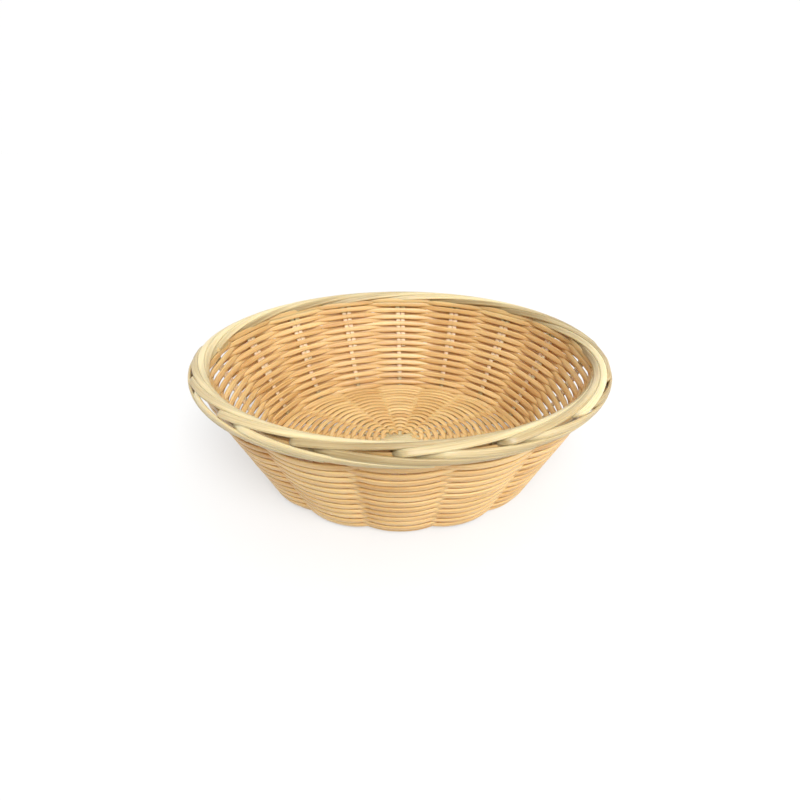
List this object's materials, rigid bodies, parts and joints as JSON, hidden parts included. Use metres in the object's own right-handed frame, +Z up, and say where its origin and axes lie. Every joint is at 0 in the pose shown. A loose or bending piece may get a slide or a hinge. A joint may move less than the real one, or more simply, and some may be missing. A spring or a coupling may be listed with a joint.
{
  "type": "bread basket",
  "caption": "Round, open bread basket woven from flat plastic cane, with a flaring scalloped wall and a wrapped border.",
  "frame": {"origin": "on the resting plane, under the middle of the base", "axes": "+Z up out of the mouth; X and Y lie in the resting plane, with a stake on each of them"},
  "size_m": [0.2296, 0.2296, 0.069],
  "materials": {
    "weaving_cane": "satin, extruded polypropylene cane in a golden straw colour",
    "stake_cane": "satin, extruded polypropylene cane in a paler khaki straw colour, finely lined lengthwise"
  },
  "bodies": {
    "root": {"rod_1": "stake_cane", "rod_2": "stake_cane", "rod_3": "stake_cane", "rod_4": "stake_cane", "rod_5": "stake_cane", "rod_6": "stake_cane", "rod_7": "stake_cane", "rod_8": "stake_cane", "by_stake_1": "stake_cane", "by_stake_2": "stake_cane", "by_stake_3": "stake_cane", "by_stake_4": "stake_cane", "by_stake_5": "stake_cane", "by_stake_6": "stake_cane", "by_stake_7": "stake_cane", "by_stake_8": "stake_cane", "by_stake_9": "stake_cane", "by_stake_10": "stake_cane", "by_stake_11": "stake_cane", "by_stake_12": "stake_cane", "by_stake_13": "stake_cane", "by_stake_14": "stake_cane", "by_stake_15": "stake_cane", "by_stake_16": "stake_cane", "base_rows_1": "weaving_cane", "base_rows_2": "weaving_cane", "base_rows_3": "weaving_cane", "base_rows_4": "weaving_cane", "base_rows_5": "weaving_cane", "base_rows_6": "weaving_cane", "base_rows_7": "weaving_cane", "base_rows_8": "weaving_cane", "base_rows_9": "weaving_cane", "edge_rows": "weaving_cane", "wall_row_1": "weaving_cane", "wall_row_2": "weaving_cane", "wall_row_3": "weaving_cane", "wall_row_4": "weaving_cane", "wall_row_5": "weaving_cane", "wall_row_6": "weaving_cane", "wall_row_7": "weaving_cane", "wall_row_8": "weaving_cane", "wall_row_9": "weaving_cane", "wall_row_10": "weaving_cane", "wall_row_11": "weaving_cane", "wall_row_12": "weaving_cane", "wall_row_13": "weaving_cane", "wall_row_14": "weaving_cane", "wall_row_15": "weaving_cane", "wall_row_16": "weaving_cane", "wall_row_17": "weaving_cane", "wall_row_18": "weaving_cane", "wall_row_19": "weaving_cane", "wall_row_20": "weaving_cane", "wall_row_21": "weaving_cane", "wall_row_22": "weaving_cane", "wall_row_23": "weaving_cane", "wall_row_24": "weaving_cane"}
  },
  "joints": []
}
